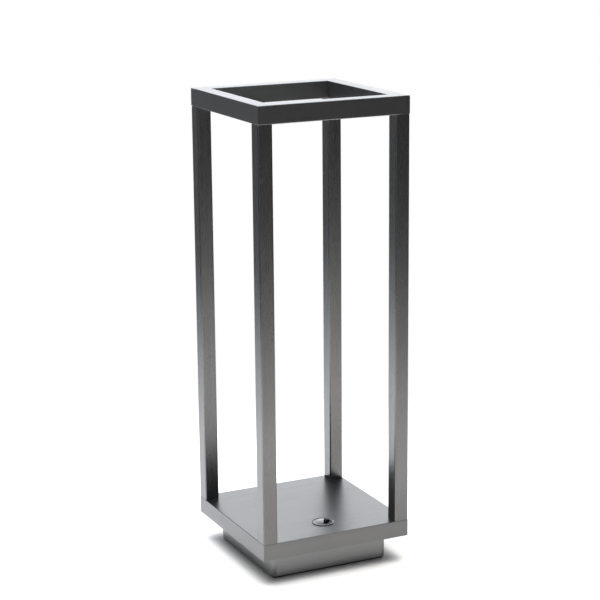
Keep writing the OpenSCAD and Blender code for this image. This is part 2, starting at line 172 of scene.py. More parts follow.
def makeHandling():
    # broad clouds in the finish and small dull spots where it has been touched
    group, given, result = newGroup(
        "handling",
        [("Vector", "Vector", None), ("Cloud Scale", "Float", 12.0), ("Spot Scale", "Float", 150.0)],
        [("Clouds", "Float"), ("Spots", "Float")])
    clouds = addNode(group, "ShaderNodeTexNoise", {"Detail": 3.0, "Roughness": 0.55})
    spots = addNode(group, "ShaderNodeTexNoise", {"Detail": 2.0, "Roughness": 0.6})
    link = group.links.new
    link(given["Vector"], clouds.inputs["Vector"])
    link(given["Vector"], spots.inputs["Vector"])
    link(given["Cloud Scale"], clouds.inputs["Scale"])
    link(given["Spot Scale"], spots.inputs["Scale"])
    link(clouds.outputs["Fac"], result["Clouds"])
    link(addRange(group, spots.outputs["Fac"], 0.60, 0.78, 0.0, 1.0), result["Spots"])
    return group


def makeEdgeWear():
    # 1 along the edges of a box with the given middle and half size, 0 further in than Reach
    group, given, result = newGroup(
        "edgeWear",
        [("Vector", "Vector", None), ("Middle", "Vector", None), ("Half Size", "Vector", None),
         ("Reach", "Float", 0.001), ("Break Up", "Float", 0.2)],
        [("Wear", "Float")])
    link = group.links.new
    offset = addNode(group, "ShaderNodeVectorMath", operation="SUBTRACT")
    link(given["Vector"], offset.inputs[0])
    link(given["Middle"], offset.inputs[1])
    size = addNode(group, "ShaderNodeVectorMath", operation="ABSOLUTE")
    link(offset.outputs[0], size.inputs[0])
    depth = addNode(group, "ShaderNodeVectorMath", operation="SUBTRACT")
    link(given["Half Size"], depth.inputs[0])
    link(size.outputs[0], depth.inputs[1])
    split = addNode(group, "ShaderNodeSeparateXYZ")
    link(depth.outputs[0], split.inputs[0])
    x, y, z = split.outputs
    # the second smallest depth is the distance to the nearest edge
    lowPair = addMath(group, "MINIMUM", x, y)
    highPair = addMath(group, "MAXIMUM", x, y)
    toEdge = addMath(group, "MAXIMUM", lowPair, addMath(group, "MINIMUM", highPair, z))
    patchy = addNode(group, "ShaderNodeTexNoise", {"Scale": 220.0, "Detail": 4.0, "Roughness": 0.7})
    link(given["Vector"], patchy.inputs["Vector"])
    share = addMath(group, "MULTIPLY", addRange(group, patchy.outputs["Fac"], 0.35, 0.65, -1.0, 1.0),
                    given["Break Up"])
    reach = addMath(group, "MULTIPLY", given["Reach"], addMath(group, "ADD", share, 1.0))
    part = addMath(group, "DIVIDE", toEdge, addMath(group, "MAXIMUM", reach, 0.05 * mm))
    link(addRange(group, part, 0.0, 1.0, 1.0, 0.0), result["Wear"])
    return group


brushedGrain = makeBrushedGrain()
handling = makeHandling()
edgeWear = makeEdgeWear()
print("shared effects made")


# metal finishes

satinSteel = {
    "dark": (0.205, 0.207, 0.210, 1.0),
    "light": (0.236, 0.237, 0.238, 1.0),
    "edge": (0.38, 0.38, 0.38, 1.0),
    "roughLow": 0.255,
    "roughHigh": 0.305,
    "spotRough": 0.05,  # added where it has been touched
    "bandShare": 0.45,  # of the tone, the rest is clouds
    "scratchDepth": 0.018,
    "scratchHeight": 0.2 * mm,
    "stretch": 0.015,  # how far the grain is drawn out along the brushing
    "wearReach": 0.5 * mm,
    "wearAmount": 0.3,
}


def brushedMetal(name, along, box, look=satinSteel, turnAt=None):
    # along is x, y or z; box is the lowest and highest corner of what it covers
    # past turnAt on either side of the middle the grain runs along y, as on a folded side wall
    material, tree, shader = newMaterial(name)
    link = tree.links.new
    place = tree.nodes.new("ShaderNodeTexCoord").outputs["Object"]
    stretch = look["stretch"]
    drawn = addNode(tree, "ShaderNodeVectorMath", {1: [stretch if axis == along else 1.0 for axis in "xyz"]},
                    operation="MULTIPLY")
    link(place, drawn.inputs[0])
    if turnAt:
        split = addNode(tree, "ShaderNodeSeparateXYZ")
        link(place, split.inputs[0])
        onSide = addMath(tree, "GREATER_THAN", addMath(tree, "ABSOLUTE", split.outputs[0], 0.0), turnAt)
        link(addMix(tree, onSide, (stretch, 1.0, 1.0, 1.0), (1.0, stretch, 1.0, 1.0)), drawn.inputs[1])
    grain = addGroup(tree, brushedGrain, {}, drawn.outputs[0])
    touched = addGroup(tree, handling, {}, place)
    low, high = Vector(box[0]), Vector(box[1])
    worn = addGroup(tree, edgeWear, {
        "Middle": (low + high) / 2, "Half Size": (high - low) / 2, "Reach": look["wearReach"]}, place)
    tone = addMath(tree, "ADD", addMath(tree, "MULTIPLY", grain["Bands"], look["bandShare"]),
                   addMath(tree, "MULTIPLY", touched["Clouds"], 1 - look["bandShare"]))
    colour = addMix(tree, addSpread(tree, tone, 0.0, 1.0), look["dark"], look["light"])
    colour = addMix(tree, addMath(tree, "MULTIPLY", worn["Wear"], look["wearAmount"]), colour, look["edge"])
    link(colour, shader.inputs["Base Color"])
    rough = addSpread(tree, grain["Grain"], look["roughLow"], look["roughHigh"])
    rough = addMath(tree, "ADD", rough, addMath(tree, "MULTIPLY", touched["Spots"], look["spotRough"]))
    link(rough, shader.inputs["Roughness"])
    bump = addNode(tree, "ShaderNodeBump", {
        "Strength": look["scratchDepth"], "Distance": look["scratchHeight"]})
    link(grain["Grain"], bump.inputs["Height"])
    link(bump.outputs["Normal"], shader.inputs["Normal"])
    shader.inputs["Metallic"].default_value = 1.0
    return material


# shared making steps

corners = [(-1, -1), (1, -1), (1, 1), (-1, 1)]
cornerNames = ["front_left", "front_right", "back_right", "back_left"]
sideNames = ["front", "right", "back", "left"]  # each a quarter turn on from the one before


def addBlock(bm, low, high):
    size = Vector(high) - Vector(low)
    place = Matrix.Translation((Vector(low) + Vector(high)) / 2) @ Matrix.Diagonal((*size, 1))
    return bmesh.ops.create_cube(bm, size=1, matrix=place)["verts"]


def bevelEdges(bm, edges, width, segments):
    bmesh.ops.bevel(bm, geom=list(edges), offset=width, offset_type="OFFSET", affect="EDGES",
                    segments=segments, profile=0.5, material=-1)


def edgesOf(verts):
    # each edge once, in a fixed order
    return list(dict.fromkeys(e for v in verts for e in v.link_edges))


def runsAlong(edge, axis):
    return abs(edge.verts[0].co[axis] - edge.verts[1].co[axis]) > nearlyOne * edge.calc_length()


def onlyVerts(elements):
    return [e for e in elements if isinstance(e, bmesh.types.BMVert)]


def addWall(bm, width, radius, low, high, segments=4):
    # four walls with rounded corners, open at both ends
    before = set(bm.faces)
    verts = addBlock(bm, (-width / 2, -width / 2, low), (width / 2, width / 2, high))
    bevelEdges(bm, [e for e in edgesOf(verts) if runsAlong(e, 2)], radius, segments)
    ends = [f for f in bm.faces if f not in before and abs(f.normal.z) > nearlyOne]
    bmesh.ops.delete(bm, geom=ends, context="FACES_ONLY")


def isAt(edge, level):
    return all(abs(v.co.z - level) < hair for v in edge.verts)


def boundaryAt(bm, level):
    return [e for e in bm.edges if e.is_boundary and isAt(e, level)]


def isFold(edge):
    # where two faces meet at more than about 60 degrees
    return len(edge.link_faces) == 2 and edge.calc_face_angle() > 1


def addTube(bm, outer, outerRadius, inner, innerRadius, low, high, endBevel):
    addWall(bm, outer, outerRadius, low, high)
    addWall(bm, inner, innerRadius, low, high)
    for level in (low, high):
        bmesh.ops.triangle_fill(bm, edges=boundaryAt(bm, level), use_beauty=True)
    bmesh.ops.recalc_face_normals(bm, faces=bm.faces)

    def onOutside(v):
        return max(abs(v.co.x), abs(v.co.y)) > inner / 2 + 10 * hair

    rims = [e for e in bm.edges if isFold(e) and all(onOutside(v) for v in e.verts)]
    bevelEdges(bm, rims, endBevel, 2)


def addSquare(bm, half, level):
    verts = bmesh.ops.create_grid(bm, x_segments=1, y_segments=1, size=half,
                                  matrix=Matrix.Translation((0, 0, level)))["verts"]
    bmesh.ops.delete(bm, geom=verts[0].link_faces[:], context="FACES_ONLY")
    return edgesOf(verts)


def addHole(bm, x, y, radius, level, steps=32):
    verts = bmesh.ops.create_circle(bm, cap_ends=False, radius=radius, segments=steps,
                                    matrix=Matrix.Translation((x, y, level)))["verts"]
    return edgesOf(verts)


def layDown(bm, thickness):
    # gives a flat sheet its thickness, downwards
    made = bmesh.ops.extrude_face_region(bm, geom=bm.faces[:], use_keep_orig=True)["geom"]
    bmesh.ops.translate(bm, verts=onlyVerts(made), vec=(0, 0, -thickness))
    bmesh.ops.recalc_face_normals(bm, faces=bm.faces)


def foldDown(bm, band, drop):
    # draws the faces in band down into a wall
    made = bmesh.ops.extrude_face_region(bm, geom=band)["geom"]
    bmesh.ops.translate(bm, verts=onlyVerts(made), vec=(0, 0, -drop))
    bmesh.ops.delete(bm, geom=band, context="FACES")
    bmesh.ops.recalc_face_normals(bm, faces=bm.faces)


squareTilt = 0.99999  # a face past this is square to an axis
mitreTilt = 0.001  # how far a mitre's face may lean


def isMitre(face):
    # upright and square to a diagonal
    return abs(abs(face.normal.x) - abs(face.normal.y)) < mitreTilt and abs(face.normal.z) < mitreTilt


def finishPiece(bm, name, node, material, body="lantern", turn=0, flatAngle=None):
    # turn is in quarter turns; faces square to an axis or to a mitre stay flat, the rest are smooth
    bmesh.ops.remove_doubles(bm, verts=bm.verts, dist=hair)
    if turn:
        quarters = Matrix.Rotation(turn * math.pi / 2, 3, "Z")
        bmesh.ops.rotate(bm, verts=bm.verts, cent=(0, 0, 0), matrix=quarters)
    bmesh.ops.recalc_face_normals(bm, faces=bm.faces)
    for face in bm.faces:
        face.smooth = not (max(abs(c) for c in face.normal) > squareTilt or isMitre(face))
    mesh = bpy.data.meshes.new(name)
    bm.to_mesh(mesh)
    bm.free()
    if flatAngle:
        mesh.set_sharp_from_angle(angle=math.radians(flatAngle))
    mesh.materials.append(material)
    piece = bpy.data.objects.new(name, mesh)
    scene.collection.objects.link(piece)
    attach(piece, body)
    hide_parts(node)


# the top ring: four mitred rails

ring = {
    "wall": 1.5 * mm,
    "edgeRadius": 0.8 * mm,
    "mitreGap": 0.06 * mm,  # how far each mitre edge is broken, which leaves the fine seam
    "slotWidth": 9.0 * mm,
    "slotLength": 126.4 * mm,
    "spigotHole": 12.0 * mm,
    "legMiddle": 7.5 * mm,  # in from the ring's outside
    "innerBreak": 0.1 * mm,
}
railSteel = dict(satinSteel, dark=(0.232, 0.234, 0.237, 1.0), light=(0.262, 0.263, 0.264, 1.0),
                 roughLow=0.29, roughHigh=0.37)


def makeRail(side, turn):
    # made as the front rail, then turned to its side
    low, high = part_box("ring_rail_front")
    width, bottom, top = high[1] - low[1], low[2], high[2]
    half, wall, innerBreak = -low[1], ring["wall"], ring["innerBreak"]
    bm = bmesh.new()
    for inset, rounding in ((0, ring["edgeRadius"]), (wall, innerBreak)):
        before = set(bm.faces)
        verts = addBlock(bm, (-half, -half + inset, bottom + inset),
                         (half, -half + width - inset, top - inset))
        bevelEdges(bm, [e for e in edgesOf(verts) if runsAlong(e, 0)], rounding, 4)
        ends = [f for f in bm.faces if f not in before and abs(f.normal.x) > nearlyOne]
        bmesh.ops.delete(bm, geom=ends, context="FACES_ONLY")

    # mitred ends, then cuts along the sides of the slot and of the two spigot notches
    middle = -half + width / 2
    hole = half - ring["legMiddle"] - ring["spigotHole"] / 2
    notchSide = -half + wall + innerBreak
    slotX, slotY = ring["slotLength"] / 2, ring["slotWidth"] / 2
    cuts = [((end * half, -half, 0), (end, 1, 0), True) for end in (-1, 1)]
    cuts += [((0, middle + end * slotY, 0), (0, 1, 0), False) for end in (-1, 1)]
    cuts += [((end * slotX, 0, 0), (1, 0, 0), False) for end in (-1, 1)]
    cuts += [((end * hole, 0, 0), (1, 0, 0), False) for end in (-1, 1)]
    cuts += [((0, y, 0), (0, 1, 0), False) for y in (-hole, notchSide)]
    for point, normal, clear in cuts:
        bmesh.ops.bisect_plane(bm, geom=bm.verts[:] + bm.edges[:] + bm.faces[:], dist=hair,
                               plane_co=point, plane_no=normal, clear_outer=clear)

    def opened(face):
        x, y, z = face.calc_center_median()
        inSlot = abs(x) < slotX and abs(y - middle) < slotY
        inNotch = abs(x) > hole and notchSide < y < -hole
        return z < bottom + wall + 10 * hair and abs(face.normal.z) > nearlyOne and (inSlot or inNotch)

    bm.normal_update()
    bmesh.ops.delete(bm, geom=[f for f in bm.faces if opened(f)], context="FACES")

    def onMitre(edge):
        return all(abs(abs(v.co.x) - abs(v.co.y)) < hair for v in edge.verts)

    rim = [e for e in boundaryAt(bm, bottom) if not onMitre(e)]
    made = bmesh.ops.extrude_edge_only(bm, edges=rim)["geom"]
    bmesh.ops.translate(bm, verts=onlyVerts(made), vec=(0, 0, wall))
    bmesh.ops.remove_doubles(bm, verts=bm.verts, dist=2 * hair)
    for end in (-1, 1):
        rim = [e for e in bm.edges if e.is_boundary and onMitre(e) and e.verts[0].co.x * end > 0]
        bmesh.ops.triangle_fill(bm, edges=rim, use_beauty=True)
    bmesh.ops.recalc_face_normals(bm, faces=bm.faces)

    def onSkin(v):
        # on the top, the outer or the inner side, where the seam shows
        depth = min(top - v.co.z, abs(v.co.y + half), abs(v.co.y + half - width))
        return depth < ring["edgeRadius"] + hair

    seam = [e for e in bm.edges if all(onSkin(v) for v in e.verts) and len(e.link_faces) == 2
            and isMitre(e.link_faces[0]) != isMitre(e.link_faces[1])]
    bevelEdges(bm, seam, ring["mitreGap"], 1)
    along = "x" if turn % 2 == 0 else "y"
    metal = brushedMetal("railSteel_" + side, along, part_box("ring_rail_" + side), railSteel)
    finishPiece(bm, "rail_" + side, "ring_rail_" + side, metal, turn=turn)


for turn, side in enumerate(sideNames):
    makeRail(side, turn)
print("ring made")


# the legs: square tube

leg = {
    "wall": 1.5 * mm,
    "radius": 1.3 * mm,
    "boreRadius": 0.1 * mm,
    "endBevel": 0.15 * mm,
}


def makeLegs():
    for name in cornerNames:
        low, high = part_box("leg_" + name)
        width = high[0] - low[0]
        bm = bmesh.new()
        addTube(bm, width, leg["radius"], width - 2 * leg["wall"], leg["boreRadius"],
                low[2], high[2], leg["endBevel"])
        middle = (low + high) / 2
        bmesh.ops.translate(bm, verts=bm.verts, vec=(middle[0], middle[1], 0))
        metal = brushedMetal("legSteel_" + name, "z", (low, high))
        finishPiece(bm, "tube_" + name, "leg_" + name, metal)


makeLegs()
print("legs made")


# the base tray: a top sheet with a folded skirt

tray = {
    "sheet": 2.0 * mm,
    "skirt": 1.5 * mm,
    "fold": 0.5 * mm,
    "buttonHole": 9.6 * mm,
    "rodHole": 2.2 * mm,
    "leadHole": 1.6 * mm,
    "rodAt": 72.5 * mm,
    "leadAt": (-68.0 * mm, 68.0 * mm),
}
traySteel = dict(satinSteel, roughLow=0.31, roughHigh=0.39)


def makeTray():
    low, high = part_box("base_tray")
    half, top = high[0], high[2]
    buttonY = sum(c[1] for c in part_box("button_bezel")) / 2
    bm = bmesh.new()
    outline = addSquare(bm, half, top)
    inner = half - tray["skirt"]
    skirtLine = addSquare(bm, inner, top)
    holes = addHole(bm, 0, buttonY, tray["buttonHole"], top, 64)
    for x, y in corners:
        holes += addHole(bm, x * tray["rodAt"], y * tray["rodAt"], tray["rodHole"], top)
    holes += addHole(bm, *tray["leadAt"], tray["leadHole"], top)
    bmesh.ops.triangle_fill(bm, edges=outline + skirtLine, use_beauty=True)
    bmesh.ops.triangle_fill(bm, edges=skirtLine + holes, use_beauty=True)
    layDown(bm, tray["sheet"])
    band = [f for f in bm.faces if f.normal.z < -nearlyOne
            and max(abs(c) for c in f.calc_center_median().xy) > inner]
    foldDown(bm, band, top - tray["sheet"] - low[2])

    def onOutside(v):
        return max(abs(v.co.x), abs(v.co.y)) > half - hair

    folds = [e for e in bm.edges if isFold(e) and all(onOutside(v) for v in e.verts) and not isAt(e, low[2])]
    bevelEdges(bm, folds, tray["fold"], 4)
    metal = brushedMetal("traySteel", "x", (low, high), traySteel, turnAt=half - 2 * tray["fold"])
    finishPiece(bm, "tray", "base_tray", metal)


makeTray()
print("tray made")


# rubber and moulded plastics

roughSpread = 0.08  # how far the roughness strays from a look's own, either way
softRubber = {
    "colour": (0.012, 0.012, 0.013, 1.0),
    "rubbed": (0.032, 0.032, 0.033, 1.0),
    "rough": 0.62,
    "gritScale": 2500.0,
    "gritDepth": 0.25,
}


def makeMoulded(name, look):
    material, tree, shader = newMaterial(name)
    link = tree.links.new
    place = tree.nodes.new("ShaderNodeTexCoord").outputs["Object"]
    touched = addGroup(tree, handling, {"Cloud Scale": 40.0, "Spot Scale": 700.0}, place)
    rubbed = addRange(tree, touched["Clouds"], 0.3, 0.75, 0.0, 0.6)
    rubbed = addMath(tree, "MAXIMUM", rubbed, touched["Spots"])
    link(addMix(tree, rubbed, look["colour"], look["rubbed"]), shader.inputs["Base Color"])
    rough = addSpread(tree, touched["Clouds"], look["rough"] - roughSpread, look["rough"] + roughSpread)
    link(rough, shader.inputs["Roughness"])
    grit = addNode(tree, "ShaderNodeTexNoise", {"Scale": look["gritScale"], "Detail": 3.0})
    link(place, grit.inputs["Vector"])
    bump = addNode(tree, "ShaderNodeBump", {"Strength": look["gritDepth"], "Distance": 0.05 * mm})
    link(grit.outputs["Fac"], bump.inputs["Height"])
    link(bump.outputs["Normal"], shader.inputs["Normal"])
    return material


# the push button: bezel, disc and seal, each turned round the button's axis

button = {
    "steps": 96,
    "flatAngle": 40,  # degrees; corners past this stay sharp
    "rim": 3.3 * mm,  # width of the bezel's ring round the disc
    "flangeLip": 1.5 * mm,
    "barrelWall": 1.0 * mm,
    "lip": 3.0 * mm,
    "runGap": 0.05 * mm,
    "skirtGap": 0.3 * mm,
    "skirt": 1.2 * mm,
    "stem": 2.5 * mm,
    "stemRound": 0.3 * mm,
    "rimRound": 0.38 * mm,
    "underRound": 0.08 * mm,
    "innerBreak": 0.08 * mm,
    "discBreak": 0.05 * mm,
    "sealRound": 0.1 * mm,
    "sealInset": 0.5 * mm,  # how far the seal stays back from its full size
    "sealGap": 0.1 * mm,  # between the seal and the barrel
}
bezelPolish = {
    "colour": (0.185, 0.188, 0.194, 1.0),
    "dull": (0.165, 0.168, 0.172, 1.0),
    "roughLow": 0.20,
    "roughHigh": 0.30,
}
discPolish = {
    "colour": (0.108, 0.111, 0.115, 1.0),
    "dull": (0.098, 0.100, 0.103, 1.0),
    "roughLow": 0.03,
    "roughHigh": 0.06,
}


def makePolished(name, axis, look):
    # turned and polished: very fine rings round the axis
    material, tree, shader = newMaterial(name)
    link = tree.links.new
    place = tree.nodes.new("ShaderNodeTexCoord").outputs["Object"]
    centred = addNode(tree, "ShaderNodeMapping", {"Location": (-axis[0], -axis[1], 0)})
    link(place, centred.inputs["Vector"])
    rings = addNode(tree, "ShaderNodeTexWave", {"Scale": 700.0, "Distortion": 2.0, "Detail": 2.0},
                    wave_type="RINGS", rings_direction="Z")
    link(centred.outputs["Vector"], rings.inputs["Vector"])
    touched = addGroup(tree, handling, {"Cloud Scale": 160.0, "Spot Scale": 900.0}, place)
    dulled = addRange(tree, touched["Clouds"], 0.35, 0.7, 0.0, 1.0)
    link(addMix(tree, dulled, look["colour"], look["dull"]), shader.inputs["Base Color"])
    rough = addSpread(tree, touched["Clouds"], look["roughLow"], look["roughHigh"])
    rough = addMath(tree, "ADD", rough, addMath(tree, "MULTIPLY", touched["Spots"], 0.08))
    link(rough, shader.inputs["Roughness"])
    bump = addNode(tree, "ShaderNodeBump", {"Strength": 0.03, "Distance": 0.02 * mm})
    link(rings.outputs["Fac"], bump.inputs["Height"])
    link(bump.outputs["Normal"], shader.inputs["Normal"])
    shader.inputs["Metallic"].default_value = 1.0
    return material


def turnProfile(bm, outline, axis, steps, rounds):
    # outline is a closed list of (radius, height); rounds are (index, width, segments) of its corners
    verts = [bmesh.ops.create_vert(bm, co=(r, 0, z))["vert"][0] for r, z in outline]
    bmesh.ops.contextual_create(bm, geom=verts)
    for index, width, segments in rounds:
        bmesh.ops.bevel(bm, geom=[verts[index]], offset=width, offset_type="OFFSET", affect="VERTICES",
                        segments=segments, profile=0.5, material=-1)
    # an edge that lies on the axis isn't turned
    edges = [e for e in bm.edges if max(v.co.x for v in e.verts) > 0.001 * hair]
    bmesh.ops.delete(bm, geom=bm.faces[:], context="FACES_ONLY")
    bmesh.ops.spin(bm, geom=bm.verts[:] + edges, cent=(0, 0, 0), axis=(0, 0, 1),
                   angle=2 * math.pi, steps=steps, use_merge=True)
    bmesh.ops.remove_doubles(bm, verts=bm.verts, dist=0.1 * hair)
    bmesh.ops.translate(bm, verts=bm.verts, vec=(axis[0], axis[1], 0))
    bmesh.ops.recalc_face_normals(bm, faces=bm.faces)


def makeButton():
    low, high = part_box("button_bezel")
    axis = ((low[0] + high[0]) / 2, (low[1] + high[1]) / 2)
    outer, top, bottom = (high[0] - low[0]) / 2, high[2], low[2]
    sealLow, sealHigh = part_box("button_seal")
    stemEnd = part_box("button_cap")[0][2]
    flange, lip = sealHigh[2], top - button["lip"]
    bore, barrel = outer - button["rim"], outer - button["flangeLip"]
    chamber = barrel - button["barrelWall"]

    bm = bmesh.new()
    outline = [(bore, top), (outer, top), (outer, flange), (barrel, flange), (barrel, bottom),
               (chamber, bottom), (chamber, lip), (bore, lip)]
    rounds = ((1, button["rimRound"], 5), (0, button["innerBreak"], 2), (2, button["underRound"], 2))
    turnProfile(bm, outline, axis, button["steps"], rounds)
    finishPiece(bm, "bezel", "button_bezel", makePolished("bezelSteel", axis, bezelPolish),
                flatAngle=button["flatAngle"])

    disc, skirt = bore - button["runGap"], chamber - button["skirtGap"]
    stem, step = button["stem"], lip - button["skirt"]
    bm = bmesh.new()
    outline = [(0, top), (disc, top), (disc, lip), (skirt, lip), (skirt, step), (stem, step),
               (stem, stemEnd), (0, stemEnd)]
    rounds = ((1, button["discBreak"], 3), (6, button["stemRound"], 2))
    turnProfile(bm, outline, axis, button["steps"], rounds)
    finishPiece(bm, "disc", "button_cap", makePolished("discSteel", axis, discPolish),
                body="button", flatAngle=button["flatAngle"])

    bm = bmesh.new()
    inner, wide = barrel + button["sealGap"], (sealHigh[0] - sealLow[0]) / 2 - button["sealInset"]
    outline = [(inner, sealHigh[2]), (wide, sealHigh[2]), (wide, sealLow[2]), (inner, sealLow[2])]
    rounds = ((1, button["sealRound"], 3), (2, button["sealRound"], 3))
    turnProfile(bm, outline, axis, button["steps"], rounds)
    finishPiece(bm, "seal", "button_seal", makeMoulded("sealRubber", softRubber),
                flatAngle=button["flatAngle"])


makeButton()
print("button made")


# the plinth: four folded walls with fixing tabs in the top corners

plinth = {
    "wall": 1.5 * mm,
    "radius": 4.5 * mm,
    "tab": 15.0 * mm,
    "studHole": 2.2 * mm,
    "studAt": 51.0 * mm,
    "edgeBreak": 0.25 * mm,
}
plinthSteel = dict(satinSteel, dark=(0.236, 0.238, 0.241, 1.0), light=(0.256, 0.257, 0.258, 1.0),
                   roughLow=0.27, roughHigh=0.30, scratchDepth=0.001)


def addRoundedFace(bm, half, radius, level, segments=8):
    verts = bmesh.ops.create_grid(bm, x_segments=1, y_segments=1, size=half,
                                  matrix=Matrix.Translation((0, 0, level)))["verts"]
    before = set(bm.verts) - set(verts)
    bmesh.ops.bevel(bm, geom=verts, offset=radius, offset_type="OFFSET", affect="VERTICES",
                    segments=segments, profile=0.5, material=-1)
    return next(f for f in bm.faces if not before.intersection(f.verts))


def openFace(bm, face):
    # takes the face out and gives back the edges round it
    edges = face.edges[:]
    bmesh.ops.delete(bm, geom=[face], context="FACES_ONLY")
    return edges


def makePlinth():
    low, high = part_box("plinth_shell")
    half, top, wall = high[0], high[2], plinth["wall"]
    inner, bend = half - wall, half - plinth["radius"]
    tabSide = inner - plinth["tab"]
    bm = bmesh.new()
    addRoundedFace(bm, inner, plinth["radius"] - wall, top)
    for way in ((1, 0, 0), (0, 1, 0)):
        for end in (-1, 1):
            bmesh.ops.bisect_plane(bm, geom=bm.verts[:] + bm.edges[:] + bm.faces[:], dist=0.1 * hair,
                                   plane_co=Vector(way) * end * tabSide, plane_no=way)
    bm.normal_update()
    middle = [f for f in bm.faces if min(abs(c) for c in f.calc_center_median().xy) < tabSide]
    innerLine = [e for e in bm.edges if e.is_boundary]
    bmesh.ops.delete(bm, geom=middle, context="FACES_ONLY")
    for face in bm.faces[:]:
        x, y, z = face.calc_center_median()
        rim = openFace(bm, face)
        hole = addHole(bm, math.copysign(plinth["studAt"], x), math.copysign(plinth["studAt"], y),
                       plinth["studHole"], top)
        bmesh.ops.triangle_fill(bm, edges=rim + hole, use_beauty=True)
    spare = [e for e in bm.edges if not e.link_faces and e not in innerLine]
    bmesh.ops.delete(bm, geom=spare, context="EDGES")
    innerLine = [e for e in innerLine if e.is_valid]
    outline = openFace(bm, addRoundedFace(bm, half, plinth["radius"], top))
    bmesh.ops.triangle_fill(bm, edges=innerLine + outline, use_beauty=True)
    layDown(bm, wall)

    def allPast(element, reach):
        # whether all its points lie past the outline that is reach from the middle, round the corners too
        def distance(v):
            return math.hypot(max(abs(v.co.x) - bend, 0), max(abs(v.co.y) - bend, 0)) + bend
        return all(distance(v) > reach for v in element.verts)

    foldDown(bm, [f for f in bm.faces if f.normal.z < -nearlyOne and allPast(f, inner - hair)],
             top - wall - low[2])
    rims = [e for e in bm.edges if isFold(e) and allPast(e, half - 10 * hair)]
    bevelEdges(bm, rims, plinth["edgeBreak"], 2)
    metal = brushedMetal("plinthSteel", "x", (low, high), plinthSteel, turnAt=bend)
    finishPiece(bm, "plinth", "plinth_shell", metal)


makePlinth()
print("plinth made")


# the soft pad under the plinth

pad = {
    "radius": 3.0 * mm,
    "hole": 4.0 * mm,
    "postAt": 51.0 * mm,
    "earAt": (35.1 * mm, 22.0 * mm),
    "edgeRound": 0.5 * mm,
    "holeRound": 0.2 * mm,
}


def makePad():
    low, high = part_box("foot_pad")
    bm = bmesh.new()
    outline = openFace(bm, addRoundedFace(bm, high[0], pad["radius"], high[2]))
    holes = []
    for x, y in corners:
        holes += addHole(bm, x * pad["postAt"], y * pad["postAt"], pad["hole"], high[2])
    for side in (-1, 1):
        holes += addHole(bm, side * pad["earAt"][0], pad["earAt"][1], pad["hole"], high[2])
    bmesh.ops.triangle_fill(bm, edges=outline + holes, use_beauty=True)
    layDown(bm, high[2] - low[2])

    def onOutside(v):
        return max(abs(v.co.x), abs(v.co.y)) > high[0] - pad["radius"] - hair

    folded = [e for e in bm.edges if isFold(e)]
    outer = [e for e in folded if all(onOutside(v) for v in e.verts)]
    inner = [e for e in folded if e not in outer]
    bevelEdges(bm, outer, pad["edgeRound"], 4)
    bevelEdges(bm, inner, pad["holeRound"], 2)
    finishPiece(bm, "pad", "foot_pad", makeMoulded("padRubber", softRubber))


makePad()
print("pad made")


# opal bars in the slots under the ring

diffuser = {
    "wall": 1.5 * mm,
    "lip": 1.2 * mm,
    "edgeRound": 0.25 * mm,
}
opalPlastic = {
    "colour": (0.83, 0.83, 0.80, 1.0),
    "rubbed": (0.74, 0.74, 0.70, 1.0),
    "rough": 0.42,
    "gritScale": 1800.0,
    "gritDepth": 0.08,
}


def makeDiffuser(side, turn, opal):
    # made under the front rail, then turned to its side
    low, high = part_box("diffuser_front")
    middle, bottom, top = (low[1] + high[1]) / 2, low[2], high[2]
    lipHalf, length = (high[1] - low[1]) / 2, high[0] - low[0]
    barHalf = lipHalf - diffuser["lip"]
    shelf = bottom + diffuser["wall"]
    bm = bmesh.new()
    section = [(-barHalf, bottom), (barHalf, bottom), (barHalf, shelf), (lipHalf, shelf), (lipHalf, top),
               (-lipHalf, top), (-lipHalf, shelf), (-barHalf, shelf)]
    verts = [bmesh.ops.create_vert(bm, co=(low[0], middle + y, z))["vert"][0] for y, z in section]
    face = bmesh.ops.contextual_create(bm, geom=verts)["faces"]
    made = bmesh.ops.extrude_face_region(bm, geom=face, use_keep_orig=True)["geom"]
    bmesh.ops.translate(bm, verts=onlyVerts(made), vec=(length, 0, 0))
    bmesh.ops.recalc_face_normals(bm, faces=bm.faces)
    bevelEdges(bm, [e for e in bm.edges if isAt(e, bottom)], diffuser["edgeRound"], 3)
    finishPiece(bm, "opal_" + side, "diffuser_" + side, opal, turn=turn)


opal = makeMoulded("opalPlastic", opalPlastic)
for turn, side in enumerate(sideNames):
    makeDiffuser(side, turn, opal)
print("diffusers made")


# plated and bare metal parts inside the frame

zincPlate = {
    "colour": (0.55, 0.56, 0.58, 1.0),
    "cloudy": (0.43, 0.44, 0.43, 1.0),
    "edge": (0.70, 0.70, 0.70, 1.0),
    "roughLow": 0.26,
    "roughHigh": 0.42,
}
brass = {
    "colour": (0.70, 0.52, 0.25, 1.0),
    "cloudy": (0.55, 0.40, 0.20, 1.0),
    "edge": (0.82, 0.68, 0.42, 1.0),
    "roughLow": 0.22,
    "roughHigh": 0.38,
}


